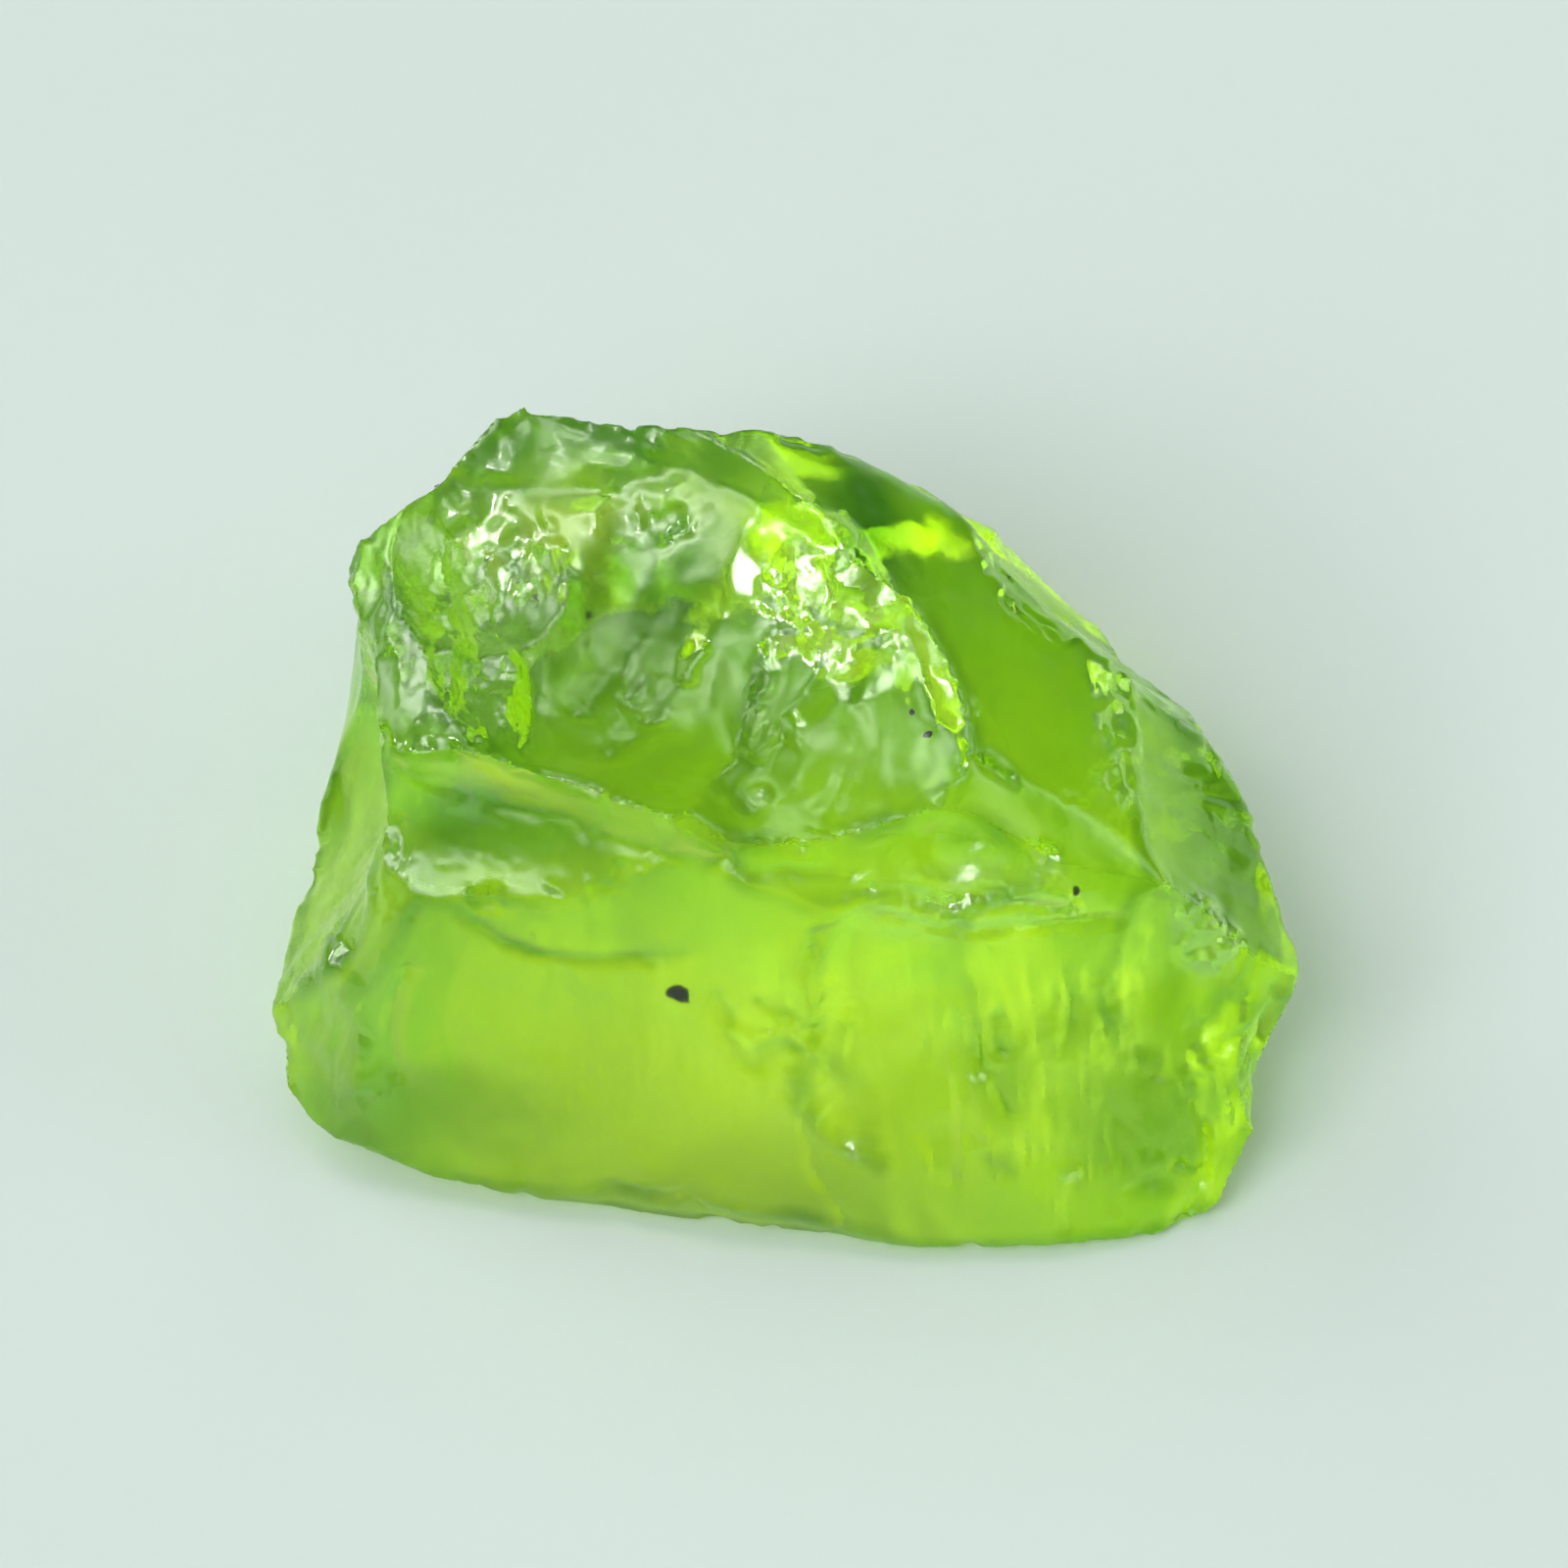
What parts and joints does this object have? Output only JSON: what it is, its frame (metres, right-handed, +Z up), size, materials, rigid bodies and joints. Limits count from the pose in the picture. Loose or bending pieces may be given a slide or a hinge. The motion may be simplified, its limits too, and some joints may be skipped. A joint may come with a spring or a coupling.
{
  "type": "rough peridot crystal",
  "caption": "Single rough peridot crystal: a clear yellow-green lump with broken concave faces and a flat underside that it rests on.",
  "frame": {"origin": "middle of the crystal's footprint, on the surface it rests on", "axes": "+X along the length of the crystal, +Y away from the picture's viewer, +Z up"},
  "size_m": [0.009, 0.0068, 0.0051],
  "materials": {
    "peridot": "clear yellow-green crystal with glassy broken faces, IOR 1.67"
  },
  "bodies": {
    "root": {"peridot_crystal": "peridot"}
  },
  "joints": []
}
